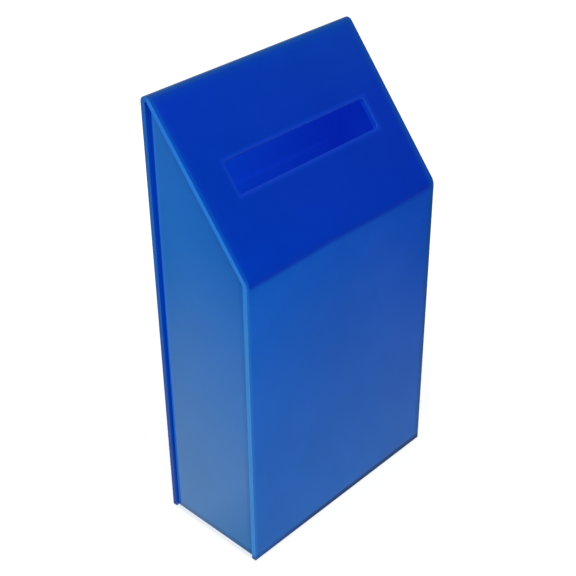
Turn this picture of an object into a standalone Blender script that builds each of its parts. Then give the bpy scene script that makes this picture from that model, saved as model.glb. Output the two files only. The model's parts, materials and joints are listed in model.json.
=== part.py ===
"""Countertop book drop box.

One bent acrylic sheet makes the front, the slope with the slot, and the back. Two side panels and a floor
close it. A door in the back hangs on two butt hinges and has a cam lock with a key. Metres, +Z up. The front
faces -Y, and the origin is the middle of the floor panel's underside.
"""

import math

import bmesh
import bpy
from mathutils import Matrix, Vector

GAP = 0.0003  # between pieces that touch

# Bent shell
WIDTH = 0.250
DEPTH = 0.117
FRONT_HEIGHT = 0.312  # to the sharp corner of the front's and the slope's planes
BACK_HEIGHT = 0.458  # to the sharp corner of the slope's and the back's planes
SHEET = 0.0048
FRONT_BEND_RADIUS = 0.014
BACK_BEND_RADIUS = 0.0064
BEND_STEPS = 12
FRONT_Y = -DEPTH / 2
BACK_Y = DEPTH / 2
SLOPE_ANGLE = math.atan2(BACK_HEIGHT - FRONT_HEIGHT, DEPTH)

# Slot in the slope
SLOT_LENGTH = 0.1775
SLOT_WIDTH = 0.0300
SLOT_X = 0.0027  # the slot was cut a little right of the middle
SLOT_UP_SLOPE = 0.0840  # from the sharp front corner to the slot's middle
SLOT_CORNER_RADIUS = 0.0035
CORNER_STEPS = 6
CUTTER_REACH = 0.010  # how far a cutter stands past the wall on each side

# Side panels and floor
SIDE_INSET = 0.003

# Door in the back
OPENING_WIDTH = 0.176
OPENING_HEIGHT = 0.300
OPENING_FOOT = 0.020
OPENING_CORNER_RADIUS = 0.004
DOOR_CLEARANCE = 0.001
STOP_LENGTH = 0.190
STOP_WIDTH = 0.016
STOP_OVERLAP = 0.006  # how far a stop or the keeper stands into the opening
KEEPER_THICKNESS = 0.0105
KEEPER_WIDTH = 0.022
KEEPER_HEIGHT = 0.060

# Butt hinges
HINGE_MIDDLES = {"lower": 0.075, "upper": 0.265}
HINGE_LENGTH = 0.050
LEAF_WIDTH = 0.021
LEAF_THICKNESS = 0.0015
KNUCKLE_RADIUS = 0.003
KNUCKLE_COUNT = 5
KNUCKLE_BORE_RADIUS = 0.0015
PIN_RADIUS = 0.0012
PIN_HEAD_RADIUS = 0.0023
PIN_HEAD_LENGTH = 0.0009
HINGE_X = OPENING_WIDTH / 2 - DOOR_CLEARANCE / 2
LEAF_BASE_Y = BACK_Y + GAP
HINGE_Y = LEAF_BASE_Y + KNUCKLE_RADIUS

# Countersunk hinge screws and their nuts
SCREW_FROM_PIN = 0.0125
SCREW_SPREAD = 0.015  # above and below the hinge's middle
SCREW_RADIUS = 0.0015
SCREW_HEAD_RADIUS = 0.00275
SCREW_HEAD_HEIGHT = 0.00125
SCREW_HOLE_RADIUS = SCREW_RADIUS + GAP
RECESS_LENGTH = 0.0028
RECESS_WIDTH = 0.0007
RECESS_DEPTH = 0.0008
NUT_ACROSS_CORNERS = 0.00635
NUT_THICKNESS = 0.0024
SCREW_PAST_NUT = 0.0008
SCREW_LENGTH = LEAF_THICKNESS + SHEET + NUT_THICKNESS + SCREW_PAST_NUT + 2 * GAP

# Cam lock. Depths are measured inwards from the door's outer face.
LOCK_FROM_EDGE = 0.025
LOCK_Z = OPENING_FOOT + OPENING_HEIGHT / 2
LOCK_X = -OPENING_WIDTH / 2 + DOOR_CLEARANCE + LOCK_FROM_EDGE
HOUSING_RADIUS = 0.0093
HOUSING_DEPTH = 0.0158
HOUSING_BORE_RADIUS = 0.0066
LOCK_HEAD_RADIUS = 0.01125
LOCK_HEAD_HEIGHT = 0.0025
LOCK_HEAD_EDGE = 0.0006
PLUG_RADIUS = HOUSING_BORE_RADIUS - GAP
PLUG_DEPTH = 0.0160
PLUG_RECESS = 0.0003
STUD_SIDE = 0.006
STUD_DEPTH = 0.0180
LOCK_WASHER_RADIUS = 0.0128
LOCK_WASHER_THICKNESS = 0.0008
LOCK_NUT_ACROSS_CORNERS = 0.0264
LOCK_NUT_THICKNESS = 0.003
CAM_LENGTH = 0.026
CAM_WIDTH = 0.014
CAM_DEPTH = PLUG_DEPTH + GAP
CAM_THICKNESS = 0.002
CAM_WASHER_RADIUS = 0.005
CAM_WASHER_THICKNESS = 0.0008
CAM_SCREW_RADIUS = 0.002
CAM_SCREW_HEAD_RADIUS = 0.0036
CAM_SCREW_HEAD_HEIGHT = 0.0022
CAM_SCREW_TIP_DEPTH = 0.0125
KEYWAY_WIDTH = 0.0026
KEYWAY_HEIGHT = 0.0080
KEYWAY_DEPTH = 0.0115

# Key, standing in the keyway with its shoulder at the plug's face
KEY_THICKNESS = KEYWAY_WIDTH - 2 * GAP
KEY_BLADE_HEIGHT = KEYWAY_HEIGHT - 0.0010
KEY_BLADE_LENGTH = 0.0130
KEY_TIP_LENGTH = 0.0018
KEY_NOTCH_DEPTHS = (0.0012, 0.0020, 0.0008, 0.0016)
KEY_NOTCH_PITCH = 0.0026
KEY_NOTCH_HALF_WIDTH = 0.0009
KEY_BOW_RADIUS = 0.012
KEY_BOW_MIDDLE = 0.0150
KEY_HOLE_RADIUS = 0.0030
KEY_HOLE_MIDDLE = 0.0205

ROUND_STEPS = 24
SMALL_ROUND_STEPS = 16


def clear_scene():
    for thing in list(bpy.data.objects):
        bpy.data.objects.remove(thing)


def make_material(name, colour, roughness, metallic):
    material = bpy.data.materials.new(name)
    material.use_nodes = True
    shader = material.node_tree.nodes["Principled BSDF"]
    shader.inputs["Base Color"].default_value = (*colour, 1.0)
    shader.inputs["Roughness"].default_value = roughness
    shader.inputs["Metallic"].default_value = metallic
    return material


def acrylic():
    return make_material("blue_acrylic", (0.004, 0.035, 0.45), 0.08, 0.0)


def steel():
    return make_material("steel", (0.62, 0.62, 0.63), 0.3, 1.0)


def brass():
    return make_material("brass", (0.72, 0.55, 0.25), 0.28, 1.0)


def object_from(name, mesh, at=(0, 0, 0)):
    thing = bpy.data.objects.new(name, mesh)
    thing.location = at
    bpy.context.scene.collection.objects.link(thing)
    return thing


def object_from_bmesh(name, bm):
    bmesh.ops.recalc_face_normals(bm, faces=bm.faces)
    mesh = bpy.data.meshes.new(name)
    bm.to_mesh(mesh)
    bm.free()
    return object_from(name, mesh)


def in_space(axis, pair, along):
    """A point from its place along the axis and its two other coordinates, in X, Y, Z order."""
    first, second = pair
    if axis == "X":
        return (along, first, second)
    if axis == "Y":
        return (first, along, second)
    return (first, second, along)


def prism(name, outline, axis, start, end):
    """A closed outline, extruded along the axis from start to end."""
    bm = bmesh.new()
    face = bm.faces.new([bm.verts.new(in_space(axis, pair, start)) for pair in outline])
    made = bmesh.ops.extrude_face_region(bm, geom=[face])["geom"]
    moved = [item for item in made if isinstance(item, bmesh.types.BMVert)]
    bmesh.ops.translate(bm, verts=moved, vec=Vector(in_space(axis, (0, 0), end - start)))
    return object_from_bmesh(name, bm)


def turned(name, profile, axis, at, steps=ROUND_STEPS):
    """A closed profile of (radius, place along the axis), turned about the axis through the point at."""
    bm = bmesh.new()
    corners = [bm.verts.new((radius, 0, along)) for radius, along in profile]
    edges = [bm.edges.new((corners[i - 1], corners[i])) for i in range(len(corners))]
    pivot = {"axis": (0, 0, 1), "cent": (0, 0, 0)}
    bmesh.ops.spin(bm, geom=corners + edges, steps=steps, angle=math.tau, use_merge=True, **pivot)
    bmesh.ops.remove_doubles(bm, verts=bm.verts, dist=1e-7)
    bmesh.ops.dissolve_degenerate(bm, edges=bm.edges, dist=1e-7)
    if axis == "Y":
        bmesh.ops.rotate(bm, verts=bm.verts, matrix=Matrix.Rotation(-math.pi / 2, 3, "X"))
    bmesh.ops.translate(bm, verts=bm.verts, vec=Vector(at))
    return object_from_bmesh(name, bm)


def rod(radius, start, end):
    """The profile of a plain cylinder, for turned."""
    return [(0, start), (radius, start), (radius, end), (0, end)]


def ring(inner, outer, start, end):
    """The profile of a washer or a tube, for turned."""
    return [(inner, start), (outer, start), (outer, end), (inner, end)]


def arc(centre, radius, start, end, steps):
    """Points of an arc from the start angle to the end angle, both of them included."""
    angles = [start + (end - start) * i / steps for i in range(steps + 1)]
    return [(centre[0] + radius * math.cos(a), centre[1] + radius * math.sin(a)) for a in angles]


def circle(centre, radius, steps=ROUND_STEPS):
    return arc(centre, radius, 0, math.tau, steps)[:-1]


def rounded_rectangle(centre, width, height, radius):
    across = width / 2 - radius
    up = height / 2 - radius
    points = []
    for quarter, (side, level) in enumerate([(1, 1), (-1, 1), (-1, -1), (1, -1)]):
        corner = (centre[0] + side * across, centre[1] + level * up)
        start = quarter * math.pi / 2
        points += arc(corner, radius, start, start + math.pi / 2, CORNER_STEPS)
    return points


def rectangle(left, bottom, right, top):
    return [(left, bottom), (right, bottom), (right, top), (left, top)]


def combine(target, others, operation):
    """Cuts the others from the target, or joins them to it, and removes them."""
    for other in others:
        modifier = target.modifiers.new(other.name, "BOOLEAN")
        modifier.operation = operation
        modifier.object = other
    graph = bpy.context.evaluated_depsgraph_get()
    mesh = bpy.data.meshes.new_from_object(target.evaluated_get(graph))
    target.modifiers.clear()
    target.data = mesh
    for other in others:
        bpy.data.objects.remove(other)
    return target


def cut(target, *others):
    return combine(target, others, "DIFFERENCE")


def join(target, *others):
    return combine(target, others, "UNION")


def give(thing, material, smooth=False):
    """Sets the material, and shades a round piece smooth."""
    thing.data.materials.clear()
    thing.data.materials.append(material)
    if smooth:
        thing.data.shade_smooth()
        thing.data.set_sharp_from_angle(angle=math.radians(35))
    return thing


def hang_on(pivot, pivot_at, *things):
    """Parents the things to an empty and puts their origins on it, with their shapes left in place."""
    for thing in things:
        shift = thing.location - Vector(pivot_at)
        thing.data = thing.data.copy()
        thing.data.transform(Matrix.Translation(shift) @ thing.rotation_euler.to_matrix().to_4x4())
        thing.rotation_euler = (0, 0, 0)
        thing.location = (0, 0, 0)
        thing.parent = pivot


def make_pivot(name, at, parent=None, parent_at=(0, 0, 0)):
    pivot = bpy.data.objects.new(name, None)
    pivot.empty_display_size = 0.02
    pivot.location = Vector(at) - Vector(parent_at)
    pivot.parent = parent
    bpy.context.scene.collection.objects.link(pivot)
    return pivot


def sheet_line(inset):
    """The bent sheet's side view at this depth under its outer face, from the front's foot to the back."""
    slope_normal = math.pi / 2 + SLOPE_ANGLE
    lean = math.sin(SLOPE_ANGLE)
    front_drop = FRONT_BEND_RADIUS * (1 - lean) / math.cos(SLOPE_ANGLE)
    back_drop = BACK_BEND_RADIUS * (1 + lean) / math.cos(SLOPE_ANGLE)
    front = (FRONT_Y + FRONT_BEND_RADIUS, FRONT_HEIGHT - front_drop)
    back = (BACK_Y - BACK_BEND_RADIUS, BACK_HEIGHT - back_drop)
    front_bend = arc(front, FRONT_BEND_RADIUS - inset, math.pi, slope_normal, BEND_STEPS)
    back_bend = arc(back, BACK_BEND_RADIUS - inset, slope_normal, 0, BEND_STEPS)
    return [(FRONT_Y + inset, 0), *front_bend, *back_bend, (BACK_Y - inset, 0)]


def make_slot_cutter():
    """A rounded bar that stands square to the slope, through the middle of the slot."""
    outline = rounded_rectangle((0, 0), SLOT_LENGTH, SLOT_WIDTH, SLOT_CORNER_RADIUS)
    cutter = prism("slot_cutter", outline, "Z", -SHEET - CUTTER_REACH, CUTTER_REACH)
    cutter.rotation_euler = (SLOPE_ANGLE, 0, 0)
    cutter.location = (
        SLOT_X,
        FRONT_Y + SLOT_UP_SLOPE * math.cos(SLOPE_ANGLE),
        FRONT_HEIGHT + SLOT_UP_SLOPE * math.sin(SLOPE_ANGLE),
    )
    return cutter


def through_back(name, outline):
    """A cutter through the back's sheet, from an outline in X and Z."""
    return prism(name, outline, "Y", BACK_Y - SHEET - CUTTER_REACH, BACK_Y + CUTTER_REACH)


def screw_places(side):
    """Where one side's screws stand, in X and Z. The side is 1 for the frame and -1 for the door."""
    across = HINGE_X + side * SCREW_FROM_PIN
    return [
        (hinge, number, across, middle + level * SCREW_SPREAD)
        for hinge, middle in HINGE_MIDDLES.items()
        for number, level in enumerate((-1, 1), start=1)
    ]


def screw_holes(side):
    return [
        through_back(f"{hinge}_hole_{number}", circle((x, z), SCREW_HOLE_RADIUS, SMALL_ROUND_STEPS))
        for hinge, number, x, z in screw_places(side)
    ]


def make_bent_shell():
    outline = sheet_line(0) + sheet_line(SHEET)[::-1]
    shell = prism("bent_shell", outline, "X", -WIDTH / 2, WIDTH / 2)
    middle = (0, OPENING_FOOT + OPENING_HEIGHT / 2)
    opening = rounded_rectangle(middle, OPENING_WIDTH, OPENING_HEIGHT, OPENING_CORNER_RADIUS)
    return cut(shell, make_slot_cutter(), through_back("opening", opening), *screw_holes(1))


def make_side_panel(name, side):
    outer = side * (WIDTH / 2 - SIDE_INSET)
    inner = outer - side * SHEET
    return prism(name, sheet_line(SHEET + GAP), "X", inner, outer)


def make_floor_panel():
    across = WIDTH / 2 - SIDE_INSET - SHEET - GAP
    deep = DEPTH / 2 - SHEET - GAP
    return prism("floor_panel", rectangle(-across, -deep, across, deep), "Z", 0, SHEET)


def make_access_door():
    middle = (0, OPENING_FOOT + OPENING_HEIGHT / 2)
    width = OPENING_WIDTH - 2 * DOOR_CLEARANCE
    height = OPENING_HEIGHT - 2 * DOOR_CLEARANCE
    outline = rounded_rectangle(middle, width, height, OPENING_CORNER_RADIUS - DOOR_CLEARANCE)
    door = prism("access_door", outline, "Y", BACK_Y - SHEET, BACK_Y)
    lock_hole = through_back("lock_hole", circle((LOCK_X, LOCK_Z), HOUSING_RADIUS + GAP))
    return cut(door, lock_hole, *screw_holes(-1))


def make_behind_back(name, outline, thickness):
    """A strip bonded to the inside of the back, from an outline in X and Z."""
    start = BACK_Y - SHEET - GAP
    return prism(name, outline, "Y", start - thickness, start)


def make_door_stop(name, edge, side):
    """A strip along the opening's top edge (side 1) or bottom edge (side -1)."""
    inner = edge - side * STOP_OVERLAP
    outer = inner + side * STOP_WIDTH
    outline = rectangle(-STOP_LENGTH / 2, min(inner, outer), STOP_LENGTH / 2, max(inner, outer))
    return make_behind_back(name, outline, SHEET)


def make_keeper_block():
    right = -OPENING_WIDTH / 2 + STOP_OVERLAP
    low = LOCK_Z - KEEPER_HEIGHT / 2
    outline = rectangle(right - KEEPER_WIDTH, low, right, low + KEEPER_HEIGHT)
    return make_behind_back("keeper_block", outline, KEEPER_THICKNESS)


def knuckle_outline(side):
    """A knuckle with the tab that joins it to its leaf's plate, seen from above."""
    plate = HINGE_X + side * (KNUCKLE_RADIUS + 3 * GAP)
    meets = math.asin(LEAF_THICKNESS / KNUCKLE_RADIUS - 1)
    curl = arc((0, 0), KNUCKLE_RADIUS, -math.pi / 2, meets - math.tau, SMALL_ROUND_STEPS)
    knuckle = [(HINGE_X + side * x, HINGE_Y + y) for x, y in curl]
    return [(plate, LEAF_BASE_Y), *knuckle, (plate, LEAF_BASE_Y + LEAF_THICKNESS)]


def countersink(x, z):
    """A cutter for a flat screw head, flush with the leaf's outer face."""
    top = LEAF_THICKNESS
    widest = SCREW_HEAD_RADIUS + GAP
    profile = [
        (0, -GAP),
        (SCREW_HOLE_RADIUS, -GAP),
        (SCREW_HOLE_RADIUS, top - SCREW_HEAD_HEIGHT),
        (widest, top),
        (widest, top + GAP),
        (0, top + GAP),
    ]
    return turned("countersink", profile, "Y", (x, LEAF_BASE_Y, z), SMALL_ROUND_STEPS)


def make_leaf(name, hinge, side):
    """One leaf: side 1 is the frame's, with the outer knuckles, and side -1 is the door's."""
    middle = HINGE_MIDDLES[hinge]
    foot = middle - HINGE_LENGTH / 2
    ends = sorted([HINGE_X + side * (KNUCKLE_RADIUS + GAP), HINGE_X + side * LEAF_WIDTH])
    plate_outline = rectangle(ends[0], LEAF_BASE_Y, ends[1], LEAF_BASE_Y + LEAF_THICKNESS)
    plate = prism(name, plate_outline, "Z", foot, foot + HINGE_LENGTH)
    pitch = HINGE_LENGTH / KNUCKLE_COUNT
    first = 0 if side == 1 else 1
    knuckles = [
        prism(
            f"knuckle_{number}",
            knuckle_outline(side),
            "Z",
            foot + number * pitch + (GAP if number else 0),
            foot + (number + 1) * pitch - (GAP if number < KNUCKLE_COUNT - 1 else 0),
        )
        for number in range(first, KNUCKLE_COUNT, 2)
    ]
    join(plate, *knuckles)
    bore = circle((HINGE_X, HINGE_Y), KNUCKLE_BORE_RADIUS, SMALL_ROUND_STEPS)
    bore_cutter = prism("bore", bore, "Z", foot - GAP, foot + HINGE_LENGTH + GAP)
    sinks = [countersink(x, z) for place, _, x, z in screw_places(side) if place == hinge]
    return cut(plate, bore_cutter, *sinks)


def make_hinge_pin(hinge):
    top = HINGE_MIDDLES[hinge] + HINGE_LENGTH / 2 + GAP
    low = HINGE_MIDDLES[hinge] - HINGE_LENGTH / 2 - GAP
    profile = [
        (0, low - PIN_HEAD_LENGTH),
        (PIN_HEAD_RADIUS, low - PIN_HEAD_LENGTH),
        (PIN_HEAD_RADIUS, low),
        (PIN_RADIUS, low),
        (PIN_RADIUS, top),
        (PIN_HEAD_RADIUS, top),
        (PIN_HEAD_RADIUS, top + PIN_HEAD_LENGTH),
        (0, top + PIN_HEAD_LENGTH),
    ]
    return turned(f"{hinge}_hinge_pin", profile, "Z", (HINGE_X, HINGE_Y, 0), SMALL_ROUND_STEPS)


def cross_cutter(top, direction):
    """A screwdriver recess in the top of a head on the Y axis. Direction 1 is a head that faces +Y."""
    floor = top - direction * RECESS_DEPTH
    mouth = top + direction * GAP
    thin = RECESS_WIDTH / 2
    long = RECESS_LENGTH / 2
    arm = [(thin, thin), (thin, long), (-thin, long)]
    outline = []
    for _ in range(4):
        outline += arm
        arm = [(-z, x) for x, z in arm]
    return prism("recess", outline, "Y", min(floor, mouth), max(floor, mouth))


def make_hinge_screw_mesh():
    """A countersunk screw on the Y axis, with the top of its head at zero and its tip towards -Y."""
    profile = [
        (0, 0),
        (SCREW_HEAD_RADIUS, 0),
        (SCREW_RADIUS, -SCREW_HEAD_HEIGHT),
        (SCREW_RADIUS, -SCREW_LENGTH),
        (0, -SCREW_LENGTH),
    ]
    screw = turned("hinge_screw", profile, "Y", (0, 0, 0), SMALL_ROUND_STEPS)
    return cut(screw, cross_cutter(0, 1))


def make_hex_nut(name, across_corners, bore, start, thickness):
    """A nut on the Y axis, from the start towards -Y."""
    outline = circle((0, 0), across_corners / 2, 6)
    nut = prism(name, outline, "Y", start - thickness, start)
    hole = prism("nut_hole", circle((0, 0), bore), "Y", start - thickness - GAP, start + GAP)
    return cut(nut, hole)


def make_fasteners(side, owner):
    """The screws and nuts of one side's leaves, as copies of one screw and one nut."""
    screw_y = LEAF_BASE_Y + LEAF_THICKNESS
    nut_y = BACK_Y - SHEET - GAP
    screw = make_hinge_screw_mesh()
    nut = make_hex_nut("hinge_nut", NUT_ACROSS_CORNERS, SCREW_HOLE_RADIUS, 0, NUT_THICKNESS)
    made = []
    for count, (hinge, number, x, z) in enumerate(screw_places(side)):
        screw_copy = object_from(f"{hinge}_{owner}_screw_{number}", screw.data, (x, screw_y, z))
        nut_copy = object_from(f"{hinge}_{owner}_nut_{number}", nut.data, (x, nut_y, z))
        screw_copy.rotation_euler = (0, math.radians(37 * count), 0)
        nut_copy.rotation_euler = (0, math.radians(22 * count), 0)
        made += [screw_copy, nut_copy]
    bpy.data.objects.remove(screw)
    bpy.data.objects.remove(nut)
    return made


def make_lock_housing():
    face = GAP + LOCK_HEAD_HEIGHT
    profile = [
        (HOUSING_BORE_RADIUS, -HOUSING_DEPTH),
        (HOUSING_RADIUS, -HOUSING_DEPTH),
        (HOUSING_RADIUS, GAP),
        (LOCK_HEAD_RADIUS, GAP),
        (LOCK_HEAD_RADIUS, face - LOCK_HEAD_EDGE),
        (LOCK_HEAD_RADIUS - LOCK_HEAD_EDGE, face),
        (HOUSING_BORE_RADIUS, face),
    ]
    return turned("lock_housing", profile, "Y", (LOCK_X, BACK_Y, LOCK_Z), 32)


def on_lock_axis(thing):
    thing.location = (LOCK_X, BACK_Y, LOCK_Z)
    return thing


def make_lock_fixings():
    """The washer and the nut that hold the lock's housing in the door."""
    bore = HOUSING_RADIUS + GAP
    start = -SHEET - GAP
    washer_profile = ring(bore, LOCK_WASHER_RADIUS, start - LOCK_WASHER_THICKNESS, start)
    washer = turned("lock_washer", washer_profile, "Y", (0, 0, 0))
    nut_start = start - LOCK_WASHER_THICKNESS - GAP
    nut = make_hex_nut("lock_nut", LOCK_NUT_ACROSS_CORNERS, bore, nut_start, LOCK_NUT_THICKNESS)
    return [on_lock_axis(washer), on_lock_axis(nut)]


def make_lock_plug():
    """The turning core: a keyway in front, and behind it a square stud with a threaded hole."""
    face = GAP + LOCK_HEAD_HEIGHT - PLUG_RECESS
    plug = turned("lock_plug", rod(PLUG_RADIUS, -PLUG_DEPTH, face), "Y", (0, 0, 0))
    half = STUD_SIDE / 2
    stud = prism("stud", rectangle(-half, -half, half, half), "Y", -STUD_DEPTH, -PLUG_DEPTH + GAP)
    join(plug, stud)
    across = KEYWAY_WIDTH / 2
    up = KEYWAY_HEIGHT / 2
    keyway = prism("keyway", rectangle(-across, -up, across, up), "Y", -KEYWAY_DEPTH, face + GAP)
    hole = circle((0, 0), CAM_SCREW_RADIUS + GAP, SMALL_ROUND_STEPS)
    hole_end = -CAM_SCREW_TIP_DEPTH + GAP
    hole_cutter = prism("screw_hole", hole, "Y", -STUD_DEPTH - GAP, hole_end)
    return on_lock_axis(cut(plug, keyway, hole_cutter))


def make_lock_cam():
    """The flat tongue. It points down when the lock is open."""
    half = CAM_WIDTH / 2
    top = arc((0, 0), half, 0, math.pi, SMALL_ROUND_STEPS)
    tip = [(-half, -CAM_LENGTH + 0.003), (-half + 0.003, -CAM_LENGTH), (half - 0.003, -CAM_LENGTH)]
    outline = [*top, *tip, (half, -CAM_LENGTH + 0.003)]
    cam = prism("lock_cam", outline, "Y", -CAM_DEPTH - CAM_THICKNESS, -CAM_DEPTH)
    hole = STUD_SIDE / 2 + GAP
    sides = rectangle(-hole, -hole, hole, hole)
    square = prism("square_hole", sides, "Y", -CAM_DEPTH - CAM_THICKNESS - 0.001, -CAM_DEPTH + GAP)
    return on_lock_axis(cut(cam, square))


def make_cam_fixings():
    """The washer and the screw that hold the cam on its stud."""
    start = -CAM_DEPTH - CAM_THICKNESS - GAP
    washer_profile = ring(CAM_SCREW_RADIUS + GAP, CAM_WASHER_RADIUS, start - CAM_WASHER_THICKNESS, start)
    washer = turned("cam_washer", washer_profile, "Y", (0, 0, 0))
    under_head = start - CAM_WASHER_THICKNESS - GAP
    top = under_head - CAM_SCREW_HEAD_HEIGHT
    profile = [
        (0, top),
        (CAM_SCREW_HEAD_RADIUS, top),
        (CAM_SCREW_HEAD_RADIUS, under_head),
        (CAM_SCREW_RADIUS, under_head),
        (CAM_SCREW_RADIUS, -CAM_SCREW_TIP_DEPTH),
        (0, -CAM_SCREW_TIP_DEPTH),
    ]
    screw = turned("cam_screw", profile, "Y", (0, 0, 0), SMALL_ROUND_STEPS)
    cut(screw, cross_cutter(top, -1))
    return [on_lock_axis(washer), on_lock_axis(screw)]


def key_outline():
    """The key seen from its side: Y outwards from the plug's face, then Z."""
    half = KEY_BLADE_HEIGHT / 2
    tip = -KEY_BLADE_LENGTH
    low = [(tip, 0), (tip + KEY_TIP_LENGTH, -half)]
    for number, depth in enumerate(KEY_NOTCH_DEPTHS):
        middle = tip + KEY_TIP_LENGTH + KEY_NOTCH_HALF_WIDTH + GAP + number * KEY_NOTCH_PITCH
        low.append((middle - KEY_NOTCH_HALF_WIDTH, -half))
        low.append((middle, -half + depth))
        low.append((middle + KEY_NOTCH_HALF_WIDTH, -half))
    meets = math.pi - math.asin(half / KEY_BOW_RADIUS)
    bow = arc((KEY_BOW_MIDDLE, 0), KEY_BOW_RADIUS, -meets, meets, ROUND_STEPS)
    return [*low, *bow, (tip + KEY_TIP_LENGTH, half)]


def make_key():
    key = prism("key", key_outline(), "X", -KEY_THICKNESS / 2, KEY_THICKNESS / 2)
    hole = circle((KEY_HOLE_MIDDLE, 0), KEY_HOLE_RADIUS, SMALL_ROUND_STEPS)
    cut(key, prism("ring_hole", hole, "X", -KEY_THICKNESS, KEY_THICKNESS))
    key.location = (LOCK_X, BACK_Y + GAP + LOCK_HEAD_HEIGHT, LOCK_Z)
    return key


def make_box():
    """The pieces that stand still."""
    opening_top = OPENING_FOOT + OPENING_HEIGHT
    sheets = [
        make_bent_shell(),
        make_side_panel("left_side_panel", -1),
        make_side_panel("right_side_panel", 1),
        make_floor_panel(),
        make_door_stop("top_door_stop", opening_top, 1),
        make_door_stop("bottom_door_stop", OPENING_FOOT, -1),
        make_keeper_block(),
    ]
    for sheet in sheets:
        give(sheet, acrylic(), smooth=True)
    for hinge in HINGE_MIDDLES:
        give(make_leaf(f"{hinge}_hinge_frame_leaf", hinge, 1), steel(), smooth=True)
        give(make_hinge_pin(hinge), steel(), smooth=True)
    for fastener in make_fasteners(1, "frame"):
        give(fastener, steel(), smooth=True)


def make_door():
    """The door and what is fixed to it, the lock's turning core, and the key."""
    hinge_at = (HINGE_X, HINGE_Y, 0)
    lock_at = (LOCK_X, BACK_Y, LOCK_Z)
    door_pivot = make_pivot("door_pivot", hinge_at)
    lock_pivot = make_pivot("lock_pivot", lock_at, door_pivot, hinge_at)
    door = give(make_access_door(), acrylic(), smooth=True)
    leaves = [make_leaf(f"{hinge}_hinge_door_leaf", hinge, -1) for hinge in HINGE_MIDDLES]
    metal = [*leaves, *make_fasteners(-1, "door"), make_lock_housing(), *make_lock_fixings()]
    core = [make_lock_plug(), make_lock_cam(), *make_cam_fixings()]
    for piece in metal + core:
        give(piece, steel(), smooth=True)
    key = give(make_key(), brass(), smooth=True)
    hang_on(door_pivot, hinge_at, door, *metal)
    hang_on(lock_pivot, lock_at, *core, key)


clear_scene()
make_box()
make_door()
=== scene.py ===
"""Looks of the countertop drop box: polished blue acrylic sheet with sawn edges, and steel, chrome and brass
hardware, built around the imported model."""

import json
import math

import bmesh
import bpy
from mathutils import Matrix, Vector

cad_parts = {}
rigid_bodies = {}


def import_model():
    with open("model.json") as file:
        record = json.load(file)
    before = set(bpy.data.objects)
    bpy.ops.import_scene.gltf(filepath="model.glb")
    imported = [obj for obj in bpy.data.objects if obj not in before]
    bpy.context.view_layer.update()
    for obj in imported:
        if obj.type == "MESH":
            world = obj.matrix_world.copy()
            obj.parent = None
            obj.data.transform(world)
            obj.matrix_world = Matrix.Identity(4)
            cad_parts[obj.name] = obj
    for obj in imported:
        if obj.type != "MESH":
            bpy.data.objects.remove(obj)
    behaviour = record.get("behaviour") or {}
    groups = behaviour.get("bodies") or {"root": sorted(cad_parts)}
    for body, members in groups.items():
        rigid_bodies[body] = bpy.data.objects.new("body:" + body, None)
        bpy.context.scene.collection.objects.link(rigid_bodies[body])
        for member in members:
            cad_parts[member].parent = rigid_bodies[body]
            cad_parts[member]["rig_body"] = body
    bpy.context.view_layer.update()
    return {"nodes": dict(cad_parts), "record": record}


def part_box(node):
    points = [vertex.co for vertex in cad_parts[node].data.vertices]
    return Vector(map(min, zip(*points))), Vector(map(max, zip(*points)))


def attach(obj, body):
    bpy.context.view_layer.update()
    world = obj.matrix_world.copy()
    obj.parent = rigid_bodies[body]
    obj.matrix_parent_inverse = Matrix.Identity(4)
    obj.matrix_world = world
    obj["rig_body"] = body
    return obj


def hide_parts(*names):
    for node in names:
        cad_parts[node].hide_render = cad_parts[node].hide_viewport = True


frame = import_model()

# Driving sizes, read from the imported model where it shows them
SHELL_LOW, SHELL_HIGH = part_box("bent_shell")
DOOR_LOW, DOOR_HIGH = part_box("access_door")
SIDE_LOW, SIDE_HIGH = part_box("left_side_panel")
FLOOR_LOW, FLOOR_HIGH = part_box("floor_panel")
WIDTH = SHELL_HIGH.x - SHELL_LOW.x
FRONT_Y = SHELL_LOW.y
BACK_Y = SHELL_HIGH.y
SHEET = DOOR_HIGH.y - DOOR_LOW.y

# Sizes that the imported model's boxes don't show
FRONT_HEIGHT = 0.312
BACK_HEIGHT = 0.458
FRONT_BEND_RADIUS = 0.014
BACK_BEND_RADIUS = 0.0064
SLOPE_ANGLE = math.atan2(BACK_HEIGHT - FRONT_HEIGHT, BACK_Y - FRONT_Y)
SLOT_LENGTH = 0.1775
SLOT_WIDTH = 0.0300
SLOT_X = 0.0027
SLOT_UP_SLOPE = 0.0840
SLOT_CORNER_RADIUS = 0.0035
SLOT_ROUNDOVER = 0.0014
DOOR_CORNER_RADIUS = 0.003
DOOR_CLEARANCE = 0.001
SEAM = 0.00006  # the solvent joint between two sheets

BEND_STEPS = 32
CORNER_STEPS = 12
HOLE_STEPS = 32
EASED_EDGE = 0.0004
EASED_STEPS = 3
CUTTER_REACH = 0.010
RIM_STEPS = 8
RIM_STEP_ANGLE = 10
RIM_FLARE = 1.6  # times the rim's roundness, past the outer face
SCREW_HOLE_RADIUS = 0.0018
LOCK_HOLE_RADIUS = 0.0096
STRIP_CORNER_RADIUS = 0.0010
FLOOR_GROWTH = 0.0002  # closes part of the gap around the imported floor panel
HARDWARE_EDGE = 0.00015
HARDWARE_STEPS = 2
HARDWARE_ANGLE = 38.0
SAME_PLACE = 0.000002
SAME_PLANE_ANGLE = 1.0
SHEET_ANGLE = 40.0

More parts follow.
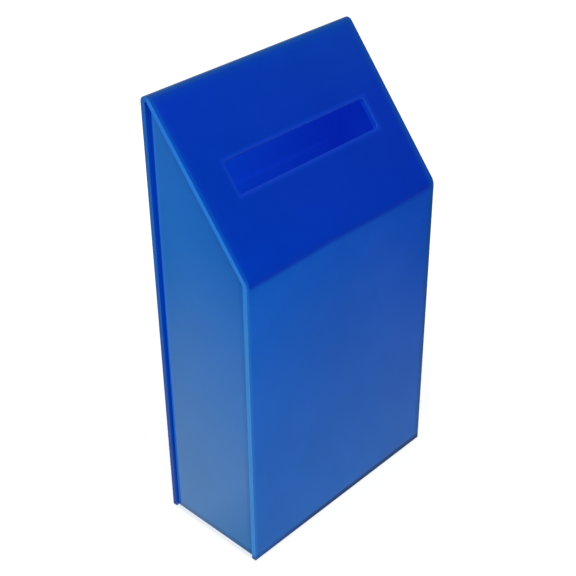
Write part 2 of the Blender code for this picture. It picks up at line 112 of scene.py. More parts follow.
# How far from an edge, a joint or the foot each tint of the acrylic starts, is full and ends, in metres.
# Most tints are painted light or painted shade.
RIM_LIGHT_FULL = 0.0022
RIM_LIGHT_END = 0.0050
LEFT_FRONT_REACH = 0.0042
LEFT_SLOPE_REACH = 0.009
RIGHT_SHADE_START = 0.0083
RIGHT_SHADE_FULL = 0.0018
BACK_BEND_START = 0.0075
BACK_BEND_FULL = 0.0025
JOINT_LIGHT_START = 0.0044
JOINT_LIGHT_FULL = 0.0014
JOINT_SHADE_HALF = 0.0004
JOINT_LEAN = 0.0094  # per metre of height
FRONT_JOINT_SETBACK = 0.0104
FRONT_JOINT_FULL = 0.0006
FRONT_JOINT_END = 0.0026
FOOT_FULL = 0.0030
FOOT_END = 0.0060
FOOT_WAVER = 0.0024
EDGE_FOOT_FULL = 0.0020
BEND_LIFT_START = 0.0052
BEND_LIFT_FULL = 0.0006
BEND_LIFT_WAVER = 0.0060

# The foot's tint is painted shade
FOOT_ON_SIDES = 0.42  # the strength of the foot's tint there

# Refraction, gloss of the outer faces, and how much of it the matter places lose
ACRYLIC_IOR = 1.49
FACE_GLOSS = 0.5
EDGE_GLOSS = 0.10
# At the foot and the back joint the lost gloss dims the reflection, as painted shade
FOOT_LOSS = 0.15
BEND_LOSS = 0.25
JOINT_SHADE_LOSS = 0.5
FRONT_JOINT_LOSS = 0.18

# Colours, as linear red, green and blue. Those named LIGHT, SHADE and GLOW are painted light, shade and glow
RIM_LIGHT = (0.006, 0.055, 0.58)
LEFT_FRONT_LIGHT = (0.012, 0.175, 0.58)
LEFT_SLOPE_LIGHT = (0.0006, 0.056, 0.47)
RIGHT_FRONT_SHADE = (0.004, 0.072, 0.262)
RIGHT_SLOPE_SHADE = (0.007, 0.062, 0.330)
BACK_BEND_LIGHT = (0.002, 0.075, 0.340)
JOINT_LIGHT = (0.014, 0.155, 0.680)
JOINT_SHADE = (0.0005, 0.046, 0.450)
FOOT_SHADE = (0.001, 0.038, 0.150)
DEEP_COLOURS = ((0.0010, 0.060, 0.38), (0.0008, 0.074, 0.58))
SLOT_RIM_COLOURS = ((0.0035, 0.046, 0.490), (0.0045, 0.062, 0.500))
SLOT_LIP_COLOURS = ((0.0006, 0.040, 0.480), (0.0008, 0.042, 0.460))
SLOT_GLOW = (0.001, 0.040, 0.500)
SLOT_GLOW_STRENGTH = 0.55
INSIDE_COLOURS = ((0.001, 0.042, 0.30), (0.002, 0.052, 0.34))
STEEL_COLOURS = ((0.66, 0.66, 0.67), (0.56, 0.55, 0.54))
STEEL_GRAIN = (0.48, 0.48, 0.49)
ZINC_COLOURS = ((0.66, 0.67, 0.69), (0.56, 0.56, 0.55))
CHROME_COLOURS = ((0.82, 0.82, 0.84), (0.66, 0.66, 0.67))
BRASS_COLOURS = ((0.80, 0.62, 0.30), (0.42, 0.29, 0.12))
GROUND_COLOURS = ((0.90, 0.90, 0.90), (0.93, 0.93, 0.93))
WHITE = (1.0, 1.0, 1.0)
CONTACT_SHADE = (0.30, 0.44, 0.56)

# Table, light and camera, in metres and degrees, with Blender's own units of strength
GROUND_RADIUS = 9.0
GROUND_SIDES = 96
GROUND_OWN_SHARE = 0.62
GROUND_OWN_STRENGTH = 1.16
CONTACT_REACH = 0.0022
CONTACT_DEPTH = 0.38
MIRRORED_REACH = 0.42
MIRRORED_NEAR = 0.88
MIRRORED_FAR = 0.12
ROOM_LIGHT = 0.25
SUN_FROM = (-0.372, -0.330, 0.868)
SUN_DISTANCE = 3.0
SUN_STRENGTH = 2.42
SUN_SPREAD = 50.0
SOFTBOX_PLACE = (0.5, 2.2, 1.0)
SOFTBOX_AIM = (0.0, 0.0, 0.25)
SOFTBOX_SIZE = (1.6, 1.2)
SOFTBOX_POWER = 18.0
CAMERA_PLACE = (-0.6889, -0.6443, 0.8314)
CAMERA_AZIMUTH = -46.297
CAMERA_ELEVATION = 32.703
CAMERA_ROLL = -0.640
CAMERA_LENS = 73.94
CAMERA_SENSOR = 36.0
CAMERA_REACH = 50.0

FACE, EDGE, INSIDE = 0, 1, 2  # material slots of every acrylic piece
DEEP, SLOT_WALL = 3, 4  # and two more of the bent sheet


# Node materials

def new_material(name):
    material = bpy.data.materials.new(name)
    material.use_nodes = True
    return material, material.node_tree, material.node_tree.nodes["Principled BSDF"]


def add(tree, kind, values=None, **settings):
    """A node with its settings, and values or links for its inputs."""
    node = tree.nodes.new(kind)
    for name, value in settings.items():
        setattr(node, name, value)
    for name, value in (values or {}).items():
        if isinstance(value, bpy.types.NodeSocket):
            tree.links.new(value, node.inputs[name])
        else:
            node.inputs[name].default_value = value
    return node


def place_in(tree, scale=(1, 1, 1), turn=(0, 0, 0)):
    """Coordinates in the row frame, in metres, stretched and turned."""
    where = add(tree, "ShaderNodeTexCoord").outputs["Object"]
    values = {"Vector": where, "Scale": scale, "Rotation": turn}
    return add(tree, "ShaderNodeMapping", values).outputs["Vector"]


def noise(tree, where, scale, detail=2.0, roughness=0.5, distortion=0.0):
    values = {
        "Vector": where, "Scale": scale, "Detail": detail, "Roughness": roughness, "Distortion": distortion,
    }
    return add(tree, "ShaderNodeTexNoise", values).outputs["Fac"]


def spread(tree, value, low, high, to_low=0.0, to_high=1.0):
    """The value's range from low to high, mapped and clamped."""
    values = {"Value": value, "From Min": low, "From Max": high, "To Min": to_low, "To Max": to_high}
    return add(tree, "ShaderNodeMapRange", values, clamp=True).outputs["Result"]


def combine(tree, operation, first, second):
    node = tree.nodes.new("ShaderNodeMath")
    node.operation = operation
    for socket, value in zip(node.inputs, (first, second)):
        if isinstance(value, bpy.types.NodeSocket):
            tree.links.new(value, socket)
        else:
            socket.default_value = value
    return node.outputs["Value"]


def without_sign(tree, value):
    return combine(tree, "ABSOLUTE", value, 0.0)


def between(tree, share, first, second):
    """A number between two numbers."""
    return add(tree, "ShaderNodeMix", {0: share, 2: first, 3: second}).outputs[0]


def blend(tree, share, first, second):
    """A colour between two colours."""
    node = tree.nodes.new("ShaderNodeMix")
    node.data_type = "RGBA"
    tree.links.new(share, node.inputs["Factor"])
    low_socket, high_socket = (socket for socket in node.inputs if socket.type == "RGBA")
    for socket, value in ((low_socket, first), (high_socket, second)):
        if isinstance(value, bpy.types.NodeSocket):
            tree.links.new(value, socket)
        else:
            socket.default_value = (*value, 1.0)
    return next(socket for socket in node.outputs if socket.type == "RGBA")


def bump(tree, height, strength, distance, under=None):
    values = {"Height": height, "Strength": strength, "Distance": distance}
    if under is not None:
        values["Normal"] = under
    return add(tree, "ShaderNodeBump", values).outputs["Normal"]


def scratches(tree, turn, scale, rarity):
    """Fine straight marks in one direction, 1 in a mark and 0 elsewhere."""
    where = place_in(tree, scale=(1.0, 1.0, 0.025), turn=turn)
    lines = noise(tree, where, scale=scale, detail=3.0, roughness=0.7, distortion=0.15)
    return spread(tree, lines, rarity, rarity + 0.03)


def acrylic_surface(tree, shader, smudge_low, smudge_high):
    """The polish of cast sheet: hand smudges, hairline marks and a faint waviness."""
    smudges = noise(tree, place_in(tree), scale=14.0, detail=5.0, roughness=0.62, distortion=0.4)
    polish = spread(tree, smudges, 0.38, 0.70, to_low=smudge_low, to_high=smudge_high)
    across = scratches(tree, turn=(0.35, 0.55, 0.2), scale=900.0, rarity=0.69)
    along = scratches(tree, turn=(1.20, -0.25, 0.6), scale=700.0, rarity=0.70)
    marks = combine(tree, "MAXIMUM", across, along)
    rough = combine(tree, "ADD", polish, combine(tree, "MULTIPLY", marks, 0.10))
    tree.links.new(rough, shader.inputs["Roughness"])
    wavy = bump(tree, noise(tree, place_in(tree), scale=9.0, detail=1.0), strength=0.25, distance=0.0008)
    fine = bump(tree, marks, strength=0.10, distance=0.00002, under=wavy)
    tree.links.new(fine, shader.inputs["Normal"])
    return smudges


def place_parts(tree):
    """X, Y and Z in the row frame."""
    where = add(tree, "ShaderNodeTexCoord").outputs["Object"]
    return add(tree, "ShaderNodeSeparateXYZ", {"Vector": where}).outputs


def facing_parts(tree):
    """How far the surface faces along X, Y and Z, without sign."""
    facing = add(tree, "ShaderNodeTexCoord").outputs["Normal"]
    size = add(tree, "ShaderNodeVectorMath", {0: facing}, operation="ABSOLUTE").outputs["Vector"]
    return add(tree, "ShaderNodeSeparateXYZ", {"Vector": size}).outputs


def behind_and_above(tree):
    """How far behind and above the slope's sharp front corner a place lies."""
    where = place_parts(tree)
    behind = combine(tree, "SUBTRACT", where["Y"], FRONT_Y)
    above = combine(tree, "SUBTRACT", where["Z"], FRONT_HEIGHT)
    return behind, above


def up_slope(tree):
    """How far up the slope from its sharp front corner a place lies."""
    behind, above = behind_and_above(tree)
    along = combine(tree, "MULTIPLY", behind, math.cos(SLOPE_ANGLE))
    return combine(tree, "ADD", along, combine(tree, "MULTIPLY", above, math.sin(SLOPE_ANGLE)))


def under_slope(tree):
    """How deep under the slope's outer face a place lies."""
    behind, above = behind_and_above(tree)
    lean = combine(tree, "MULTIPLY", behind, math.sin(SLOPE_ANGLE))
    return combine(tree, "SUBTRACT", lean, combine(tree, "MULTIPLY", above, math.cos(SLOPE_ANGLE)))


def on_slope(tree):
    return spread(tree, facing_parts(tree)["Z"], 0.3, 0.6)


def slot_rim_light(tree):
    """The painted light that shows in the slope around the slot's rounded rim."""
    across = combine(tree, "SUBTRACT", place_parts(tree)["X"], SLOT_X)
    past_end = combine(tree, "SUBTRACT", without_sign(tree, across), SLOT_LENGTH / 2)
    off_middle = without_sign(tree, combine(tree, "SUBTRACT", up_slope(tree), SLOT_UP_SLOPE))
    past_side = combine(tree, "SUBTRACT", off_middle, SLOT_WIDTH / 2)
    distance = combine(tree, "MAXIMUM", past_end, past_side)
    near = spread(tree, distance, RIM_LIGHT_FULL, RIM_LIGHT_END, to_low=0.55, to_high=0.0)
    return combine(tree, "MULTIPLY", near, on_slope(tree)), RIM_LIGHT


def left_front_light(tree):
    """Painted light that the left cut edge lets into the front."""
    end = LEFT_FRONT_REACH - WIDTH / 2
    near = spread(tree, place_parts(tree)["X"], -WIDTH / 2, end, to_low=0.9, to_high=0.0)
    on_front = spread(tree, facing_parts(tree)["Y"], 0.4, 0.7)
    return combine(tree, "MULTIPLY", near, on_front), LEFT_FRONT_LIGHT


def left_slope_light(tree):
    """Painted light that the left cut edge lets into the slope."""
    end = LEFT_SLOPE_REACH - WIDTH / 2
    near = spread(tree, place_parts(tree)["X"], -WIDTH / 2, end, to_low=0.8, to_high=0.0)
    return combine(tree, "MULTIPLY", near, on_slope(tree)), LEFT_SLOPE_LIGHT


def right_shade(tree):
    """Painted shade along the right cut edge, bluer on the slope than on the front."""
    towards = blend(tree, on_slope(tree), RIGHT_FRONT_SHADE, RIGHT_SLOPE_SHADE)
    start = WIDTH / 2 - RIGHT_SHADE_START
    full = WIDTH / 2 - RIGHT_SHADE_FULL
    return spread(tree, place_parts(tree)["X"], start, full), towards


def back_bend_light(tree):
    """Painted light from behind, which turns the upper bend greener."""
    bent = spread(tree, facing_parts(tree)["Z"], 0.66, 0.93)
    start = SHELL_HIGH.z - BACK_BEND_START
    full = SHELL_HIGH.z - BACK_BEND_FULL
    before = spread(tree, place_parts(tree)["Z"], start, full, to_low=0.0, to_high=0.25)
    share = combine(tree, "MULTIPLY", combine(tree, "MAXIMUM", bent, before), on_slope(tree))
    return share, BACK_BEND_LIGHT


def joint_line(tree):
    """How far behind a side panel's joint with the back a place lies. The joint's line leans a little."""
    where = place_parts(tree)
    lean = combine(tree, "MULTIPLY", where["Z"], JOINT_LEAN)
    return combine(tree, "SUBTRACT", combine(tree, "ADD", where["Y"], lean), SIDE_HIGH.y)


def back_joint_light(tree):
    """Painted light: the pale line in front of a side panel's solvent joint with the back."""
    start, full = -JOINT_LIGHT_START, -JOINT_LIGHT_FULL
    return spread(tree, joint_line(tree), start, full, to_low=0.0, to_high=0.95), JOINT_LIGHT


# Painted shade in a side panel's joint with the back; it also dims the reflection there
def joint_shade_line(tree):
    return spread(tree, joint_line(tree), -JOINT_SHADE_HALF, JOINT_SHADE_HALF)


def back_joint_shade(tree):
    return joint_shade_line(tree), JOINT_SHADE


def front_joint(tree):
    """The less glossy line on a side panel, behind its solvent joint with the front."""
    line = FRONT_Y + FRONT_JOINT_SETBACK
    off_line = without_sign(tree, combine(tree, "SUBTRACT", place_parts(tree)["Y"], line))
    return spread(tree, off_line, FRONT_JOINT_FULL, FRONT_JOINT_END, to_low=1.0, to_high=0.0)


def foot_shade(tree):
    """Painted shade: the dark line at the foot, strongest on the right of the front."""
    where = place_parts(tree)
    waver = combine(tree, "MULTIPLY", noise(tree, place_in(tree), scale=30.0, detail=3.0), FOOT_WAVER)
    height = combine(tree, "SUBTRACT", where["Z"], waver)
    line = spread(tree, height, FOOT_FULL, FOOT_END, to_low=1.0, to_high=0.0)
    front = spread(tree, where["X"], -0.12, -0.03, to_low=0.50, to_high=0.96)
    strength = between(tree, facing_parts(tree)["X"], front, FOOT_ON_SIDES)
    return combine(tree, "MULTIPLY", line, strength), FOOT_SHADE


def front_bend_lift(tree):
    """1 from where the front begins to bend, wavering a little, so that the slope's colour starts there."""
    where = place_parts(tree)
    waver = combine(tree, "MULTIPLY", noise(tree, place_in(tree), scale=9.0, detail=2.0), BEND_LIFT_WAVER)
    height = combine(tree, "ADD", where["Z"], waver)
    lifted = spread(tree, height, FRONT_HEIGHT - BEND_LIFT_START, FRONT_HEIGHT + BEND_LIFT_FULL)
    near_front = spread(tree, where["Y"], -0.045, -0.030, to_low=1.0, to_high=0.0)
    return combine(tree, "MULTIPLY", lifted, near_front)


def graded(tree, across, high, low_first, low_second, high_first, high_second):
    """A colour between four, by two shares."""
    low = blend(tree, across, low_first, low_second)
    return blend(tree, high, low, blend(tree, across, high_first, high_second))


# Painted light and shade: each face's colour grows lighter or darker across it and with height or depth
def slope_colour(tree, right):
    back = spread(tree, place_parts(tree)["Y"], 0.0, BACK_Y)
    low = ((0.0004, 0.0370, 0.440), (0.0018, 0.0290, 0.400))
    high = ((0.0001, 0.0360, 0.515), (0.0034, 0.0550, 0.410))
    return graded(tree, right, back, *low, *high)


def front_colour(tree, right, high):
    low = ((0.0012, 0.126, 0.520), (0.0050, 0.102, 0.420))
    top = ((0.0006, 0.098, 0.560), (0.0020, 0.054, 0.515))
    return graded(tree, right, high, *low, *top)


def side_colour(tree, high):
    back = spread(tree, place_parts(tree)["Y"], -0.045, 0.045)
    low = ((0.0020, 0.150, 0.455), (0.0020, 0.140, 0.395))
    top = ((0.0014, 0.115, 0.495), (0.0100, 0.150, 0.565))
    return graded(tree, back, high, *low, *top)


def make_face_material(name, light_and_shade=(), lift=None, matt_lines=()):
    """Polished outer faces. The upright ones are painted greener and paler than the slope, most on the sides
    and
    towards the foot, as painted light: one sheet in different colours by how it faces. The functions in
    light_and_shade return a share and a colour of painted light or painted shade. Lift is a function for
    where the slope's colour starts, and matt_lines are pairs of such a function and a loss of gloss."""
    material, tree, shader = new_material(name)
    smudges = acrylic_surface(tree, shader, smudge_low=0.05, smudge_high=0.13)
    facing = facing_parts(tree)
    where = place_parts(tree)
    # Painted light and shade: the colours grade across and with height, and upright faces differ from the
    # slope
    right = spread(tree, where["X"], -WIDTH / 2, WIDTH / 2)
    high = spread(tree, where["Z"], 0.0, 0.38)
    on_side = spread(tree, facing["X"], 0.3, 0.8)
    upright = blend(tree, on_side, front_colour(tree, right, high), side_colour(tree, high))
    sloping = spread(tree, facing["Z"], 0.05, 0.50)
    # The reflection dims with the painted shade at the foot
    gloss = combine(tree, "SUBTRACT", FACE_GLOSS, combine(tree, "MULTIPLY", foot_shade(tree)[0], FOOT_LOSS))
    if lift:
        sloping = combine(tree, "MAXIMUM", sloping, lift(tree))
        gloss = combine(tree, "SUBTRACT", gloss, combine(tree, "MULTIPLY", lift(tree), BEND_LOSS))
    colour = blend(tree, sloping, upright, slope_colour(tree, right))
    blotches = noise(tree, place_in(tree), scale=6.0, detail=3.0)
    cloud = spread(tree, combine(tree, "ADD", blotches, smudges), 0.7, 1.3)
    tone = spread(tree, cloud, 0.0, 1.0, to_low=0.93, to_high=1.07)
    colour = add(tree, "ShaderNodeHueSaturation", {"Color": colour, "Value": tone}).outputs["Color"]
    # Each of these paints light or shade into the colour, the foot's painted shade last
    for tint in (*light_and_shade, foot_shade):
        share, towards = tint(tree)
        colour = blend(tree, share, colour, towards)
    for line, loss in matt_lines:
        gloss = combine(tree, "SUBTRACT", gloss, combine(tree, "MULTIPLY", line(tree), loss))
    tree.links.new(colour, shader.inputs["Base Color"])
    tree.links.new(combine(tree, "MAXIMUM", gloss, 0.0), shader.inputs["Specular IOR Level"])
    shader.inputs["IOR"].default_value = ACRYLIC_IOR
    return material


def make_deep_material():
    """The strips of the bent sheet's inner side that stand out past the side panels, which lie in shade.
    Their colour is painted light over that shade, lighter higher up.
    """
    material, tree, shader = new_material("acrylic_deep_face")
    acrylic_surface(tree, shader, smudge_low=0.08, smudge_high=0.20)
    high = spread(tree, place_parts(tree)["Z"], 0.08, 0.28)
    tree.links.new(blend(tree, high, *DEEP_COLOURS), shader.inputs["Base Color"])
    shader.inputs["IOR"].default_value = ACRYLIC_IOR
    return material


def make_slot_wall_material():
    """The slot's walls, painted greener at the rounded rim as painted light, and with a painted glow of their
    own at the inner lip, which lifts the shade there.
    """
    material, tree, shader = new_material("acrylic_slot_wall")
    acrylic_surface(tree, shader, smudge_low=0.14, smudge_high=0.26)
    at_end = facing_parts(tree)["X"]
    rim = blend(tree, at_end, *SLOT_RIM_COLOURS)
    lip = blend(tree, at_end, *SLOT_LIP_COLOURS)
    deep = spread(tree, under_slope(tree), 0.0008, SHEET)
    tree.links.new(blend(tree, deep, rim, lip), shader.inputs["Base Color"])
    # A painted glow, stronger deeper in the slot
    shader.inputs["Emission Color"].default_value = (*SLOT_GLOW, 1.0)
    glow = combine(tree, "MULTIPLY", deep, SLOT_GLOW_STRENGTH)
    tree.links.new(glow, shader.inputs["Emission Strength"])
    shader.inputs["IOR"].default_value = ACRYLIC_IOR
    return material


def make_inside_material():
    """Faces inside the box, with a painted blue glow of their own, more on the left and under the slope,
    which lifts their shade.
    """
    material, tree, shader = new_material("acrylic_inside")
    smudges = acrylic_surface(tree, shader, smudge_low=0.06, smudge_high=0.16)
    tree.links.new(blend(tree, smudges, *INSIDE_COLOURS), shader.inputs["Base Color"])
    where = place_parts(tree)
    right = spread(tree, where["X"], -0.03, 0.09)
    high = spread(tree, where["Z"], 0.300, 0.345)
    low_glow = ((0.003, 0.054, 0.82), (0.003, 0.026, 0.66))
    high_glow = ((0.004, 0.094, 1.04), (0.003, 0.042, 0.79))
    tree.links.new(graded(tree, right, high, *low_glow, *high_glow), shader.inputs["Emission Color"])
    glow = spread(tree, where["Z"], 0.0, 0.28, to_low=0.26, to_high=0.33)
    tree.links.new(glow, shader.inputs["Emission Strength"])
    shader.inputs["IOR"].default_value = ACRYLIC_IOR
    return material


def make_edge_material():
    """Sawn and scraped sheet edges. Their colour is painted light where they pipe light, paler in the front
    and the slope than in the back leg and graded with height, with painted shade at the foot.
    """
    material, tree, shader = new_material("acrylic_cut_edge")
    where = place_in(tree)
    parts = place_parts(tree)
    waver = noise(tree, where, scale=60.0, detail=3.0)
    # Painted light: paler front and slope edges, darker ones in the back leg, each graded with height
    low_edge = blend(tree, waver, (0.027, 0.218, 0.59), (0.036, 0.248, 0.65))
    high_edge = blend(tree, waver, (0.007, 0.178, 0.70), (0.014, 0.216, 0.80))
    front_edge = blend(tree, spread(tree, parts["Z"], 0.24, 0.34), low_edge, high_edge)
    low_back = blend(tree, waver, (0.003, 0.045, 0.31), (0.006, 0.060, 0.36))
    high_back = blend(tree, waver, (0.010, 0.112, 0.43), (0.014, 0.130, 0.47))
    back_edge = blend(tree, spread(tree, parts["Z"], 0.03, 0.30), low_back, high_back)
    towards_back = spread(tree, parts["Y"], BACK_Y - 2.2 * SHEET, BACK_Y - 1.2 * SHEET)
    colour = blend(tree, towards_back, front_edge, back_edge)
    # Painted shade at the foot, as on the faces
    at_foot = spread(tree, parts["Z"], EDGE_FOOT_FULL, FOOT_END, to_low=0.7, to_high=0.0)
    colour = blend(tree, at_foot, colour, FOOT_SHADE)
    tree.links.new(colour, shader.inputs["Base Color"])
    saw = noise(tree, where, scale=1500.0, detail=2.0, roughness=0.6)
    tree.links.new(spread(tree, saw, 0.3, 0.7, to_low=0.22, to_high=0.42), shader.inputs["Roughness"])
    tree.links.new(bump(tree, saw, strength=0.12, distance=0.00005), shader.inputs["Normal"])
    shader.inputs["IOR"].default_value = ACRYLIC_IOR
    shader.inputs["Specular IOR Level"].default_value = EDGE_GLOSS
    return material


def make_brushed_steel():
    """Stamped hinge steel: a fine vertical grain, a few rubbed scratches, and a duller film in patches."""
    material, tree, shader = new_material("brushed_steel")
    grain = noise(tree, place_in(tree, scale=(1.0, 1.0, 0.03)), scale=2600.0, detail=3.0, roughness=0.65)
    film = noise(tree, place_in(tree), scale=70.0, detail=5.0, roughness=0.6)
    marks = scratches(tree, turn=(0.4, 0.9, 0.3), scale=2200.0, rarity=0.68)
    colour = blend(tree, spread(tree, film, 0.40, 0.75), *STEEL_COLOURS)
    colour = blend(tree, combine(tree, "MULTIPLY", grain, 0.5), colour, STEEL_GRAIN)
    tree.links.new(colour, shader.inputs["Base Color"])
    grained = spread(tree, grain, 0.3, 0.7, to_low=0.26, to_high=0.38)
    filmed = combine(tree, "ADD", grained, combine(tree, "MULTIPLY", film, 0.08))
    rubbed = combine(tree, "SUBTRACT", filmed, combine(tree, "MULTIPLY", marks, 0.10))
    tree.links.new(rubbed, shader.inputs["Roughness"])
    grooves = bump(tree, grain, strength=0.25, distance=0.00003)
    tree.links.new(bump(tree, marks, strength=0.12, distance=0.00003, under=grooves), shader.inputs["Normal"])
    shader.inputs["Metallic"].default_value = 1.0
    return material


def make_zinc():
    material, tree, shader = new_material("bright_zinc")
    spangle = add(tree, "ShaderNodeTexVoronoi", {"Vector": place_in(tree), "Scale": 900.0}).outputs["Color"]
    tone = add(tree, "ShaderNodeSeparateColor", {"Color": spangle}).outputs["Red"]
    colour = blend(tree, spread(tree, tone, 0.0, 1.0), *ZINC_COLOURS)
    tree.links.new(colour, shader.inputs["Base Color"])
    worn = noise(tree, place_in(tree), scale=500.0, detail=4.0, roughness=0.7)
    tree.links.new(spread(tree, worn, 0.3, 0.7, to_low=0.20, to_high=0.38), shader.inputs["Roughness"])
    tree.links.new(bump(tree, worn, strength=0.10, distance=0.00003), shader.inputs["Normal"])
    shader.inputs["Metallic"].default_value = 1.0
    return material


def make_chrome():
    material, tree, shader = new_material("polished_chrome")
    haze = noise(tree, place_in(tree), scale=260.0, detail=5.0, roughness=0.65)
    marks = scratches(tree, turn=(0.5, 1.1, 0.1), scale=3000.0, rarity=0.66)
    hazed = spread(tree, haze, 0.35, 0.7, to_low=0.05, to_high=0.14)
    rough = combine(tree, "ADD", hazed, combine(tree, "MULTIPLY", marks, 0.2))
    tree.links.new(rough, shader.inputs["Roughness"])
    colour = blend(tree, spread(tree, haze, 0.4, 0.8), *CHROME_COLOURS)
    tree.links.new(colour, shader.inputs["Base Color"])
    tree.links.new(bump(tree, marks, strength=0.15, distance=0.00002), shader.inputs["Normal"])
    shader.inputs["Metallic"].default_value = 1.0
    return material


def make_brass():
    material, tree, shader = new_material("worn_brass")
    tarnish = noise(tree, place_in(tree), scale=180.0, detail=6.0, roughness=0.7, distortion=0.3)
    colour = blend(tree, spread(tree, tarnish, 0.40, 0.66), *BRASS_COLOURS)
    tree.links.new(colour, shader.inputs["Base Color"])
    grain = noise(tree, place_in(tree, scale=(1.0, 0.04, 1.0)), scale=2400.0, detail=3.0, roughness=0.65)
    tarnished = spread(tree, tarnish, 0.4, 0.7, to_low=0.18, to_high=0.36)
    rough = combine(tree, "ADD", tarnished, combine(tree, "MULTIPLY", grain, 0.08))
    tree.links.new(rough, shader.inputs["Roughness"])
    tree.links.new(bump(tree, grain, strength=0.20, distance=0.00003), shader.inputs["Normal"])
    shader.inputs["Metallic"].default_value = 1.0
    return material


# Outlines and solids

def arc(centre, radius, start, end, steps):
    angles = [start + (end - start) * i / steps for i in range(steps + 1)]
    return [(centre[0] + radius * math.cos(a), centre[1] + radius * math.sin(a)) for a in angles]


def circle(centre, radius, steps=HOLE_STEPS):
    return arc(centre, radius, 0, math.tau, steps)[:-1]


def rounded_rectangle(centre, width, height, radius):
    across = width / 2 - radius
    up = height / 2 - radius
    points = []
    for quarter, (side, level) in enumerate([(1, 1), (-1, 1), (-1, -1), (1, -1)]):
        corner = (centre[0] + side * across, centre[1] + level * up)
        start = quarter * math.pi / 2
        points += arc(corner, radius, start, start + math.pi / 2, CORNER_STEPS)
    return points


def rectangle(left, bottom, right, top):
    return [(left, bottom), (right, bottom), (right, top), (left, top)]


def in_space(axis, pair, along):
    first, second = pair
    return {"X": (along, first, second), "Y": (first, along, second), "Z": (first, second, along)}[axis]


def linked_object(name, bm):
    bmesh.ops.recalc_face_normals(bm, faces=bm.faces)
    mesh = bpy.data.meshes.new(name)
    bm.to_mesh(mesh)
    bm.free()
    piece = bpy.data.objects.new(name, mesh)
    bpy.context.scene.collection.objects.link(piece)
    return piece


def loft(name, sections, caps=(FACE, FACE), sides=EDGE):
    """Rings of points joined in turn, with closed ends. Sides is one slot, or a slot for each side."""
    bm = bmesh.new()
    rings = [[bm.verts.new(point) for point in section] for section in sections]
    count = len(rings[0])
    for ring, slot in zip((rings[0], rings[-1]), caps):
        bm.faces.new(ring).material_index = slot
    for low, high in zip(rings, rings[1:]):
        for i in range(count):
            j = (i + 1) % count
            face = bm.faces.new((low[i], low[j], high[j], high[i]))
            face.material_index = sides if isinstance(sides, int) else sides[i]
    return linked_object(name, bm)


def prism(name, outline, axis, start, end, caps=(FACE, FACE), sides=EDGE):
    sections = [[in_space(axis, pair, along) for pair in outline] for along in (start, end)]
    return loft(name, sections, caps, sides)


def sheet_line(inset):
    """The bent sheet's side view at this depth under its outer face, from the front's foot to the back's."""
    slope_normal = math.pi / 2 + SLOPE_ANGLE
    lean = math.sin(SLOPE_ANGLE)
    front_drop = FRONT_BEND_RADIUS * (1 - lean) / math.cos(SLOPE_ANGLE)
    back_drop = BACK_BEND_RADIUS * (1 + lean) / math.cos(SLOPE_ANGLE)
    front = (FRONT_Y + FRONT_BEND_RADIUS, FRONT_HEIGHT - front_drop)
    back = (BACK_Y - BACK_BEND_RADIUS, BACK_HEIGHT - back_drop)
    front_bend = arc(front, FRONT_BEND_RADIUS - inset, math.pi, slope_normal, BEND_STEPS)
    back_bend = arc(back, BACK_BEND_RADIUS - inset, slope_normal, 0, BEND_STEPS)
    line = [(FRONT_Y + inset, 0), *front_bend, *back_bend, (BACK_Y - inset, 0)]
    return [(y, min(z, SHELL_HIGH.z - inset)) for y, z in line]


def cut(piece, *cutters):
    """Cuts the cutters out of the piece. Their faces keep their own slots."""
    for cutter in cutters:
        modifier = piece.modifiers.new(cutter.name, "BOOLEAN")
        modifier.operation = "DIFFERENCE"
        modifier.solver = "EXACT"
        modifier.object = cutter
        for slot in piece.data.materials:
            cutter.data.materials.append(slot)
    apply_modifiers(piece)
    for cutter in cutters:
        bpy.data.objects.remove(cutter)


def apply_modifiers(piece):
    graph = bpy.context.evaluated_depsgraph_get()
    mesh = bpy.data.meshes.new_from_object(piece.evaluated_get(graph), depsgraph=graph)
    piece.modifiers.clear()
    piece.data = mesh


def ease_edges(piece, width, steps, limit):
    """Rounds the sharp edges a little and keeps the flat faces flat in shading."""
    piece.data.shade_smooth()
    bevel = piece.modifiers.new("eased_edges", "BEVEL")
    bevel.width = width
    bevel.segments = steps
    bevel.limit_method = "ANGLE"
    bevel.angle_limit = math.radians(limit)
    flat = piece.modifiers.new("flat_faces", "WEIGHTED_NORMAL")
    flat.keep_sharp = False


def finish_piece(piece, node):
    """Puts the piece in the place of its CAD node."""
    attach(piece, frame["nodes"][node]["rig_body"])
    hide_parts(node)


def give_acrylic(piece, face_material, *others):
    """The materials for the slots FACE, EDGE and INSIDE, and the bent sheet's two others."""
    for material in (face_material, CUT_EDGE, INSIDE_FACE, *others):
        piece.data.materials.append(material)


def finish_acrylic(piece, node):
    ease_edges(piece, EASED_EDGE, EASED_STEPS, SHEET_ANGLE)
    finish_piece(piece, node)


# Acrylic pieces

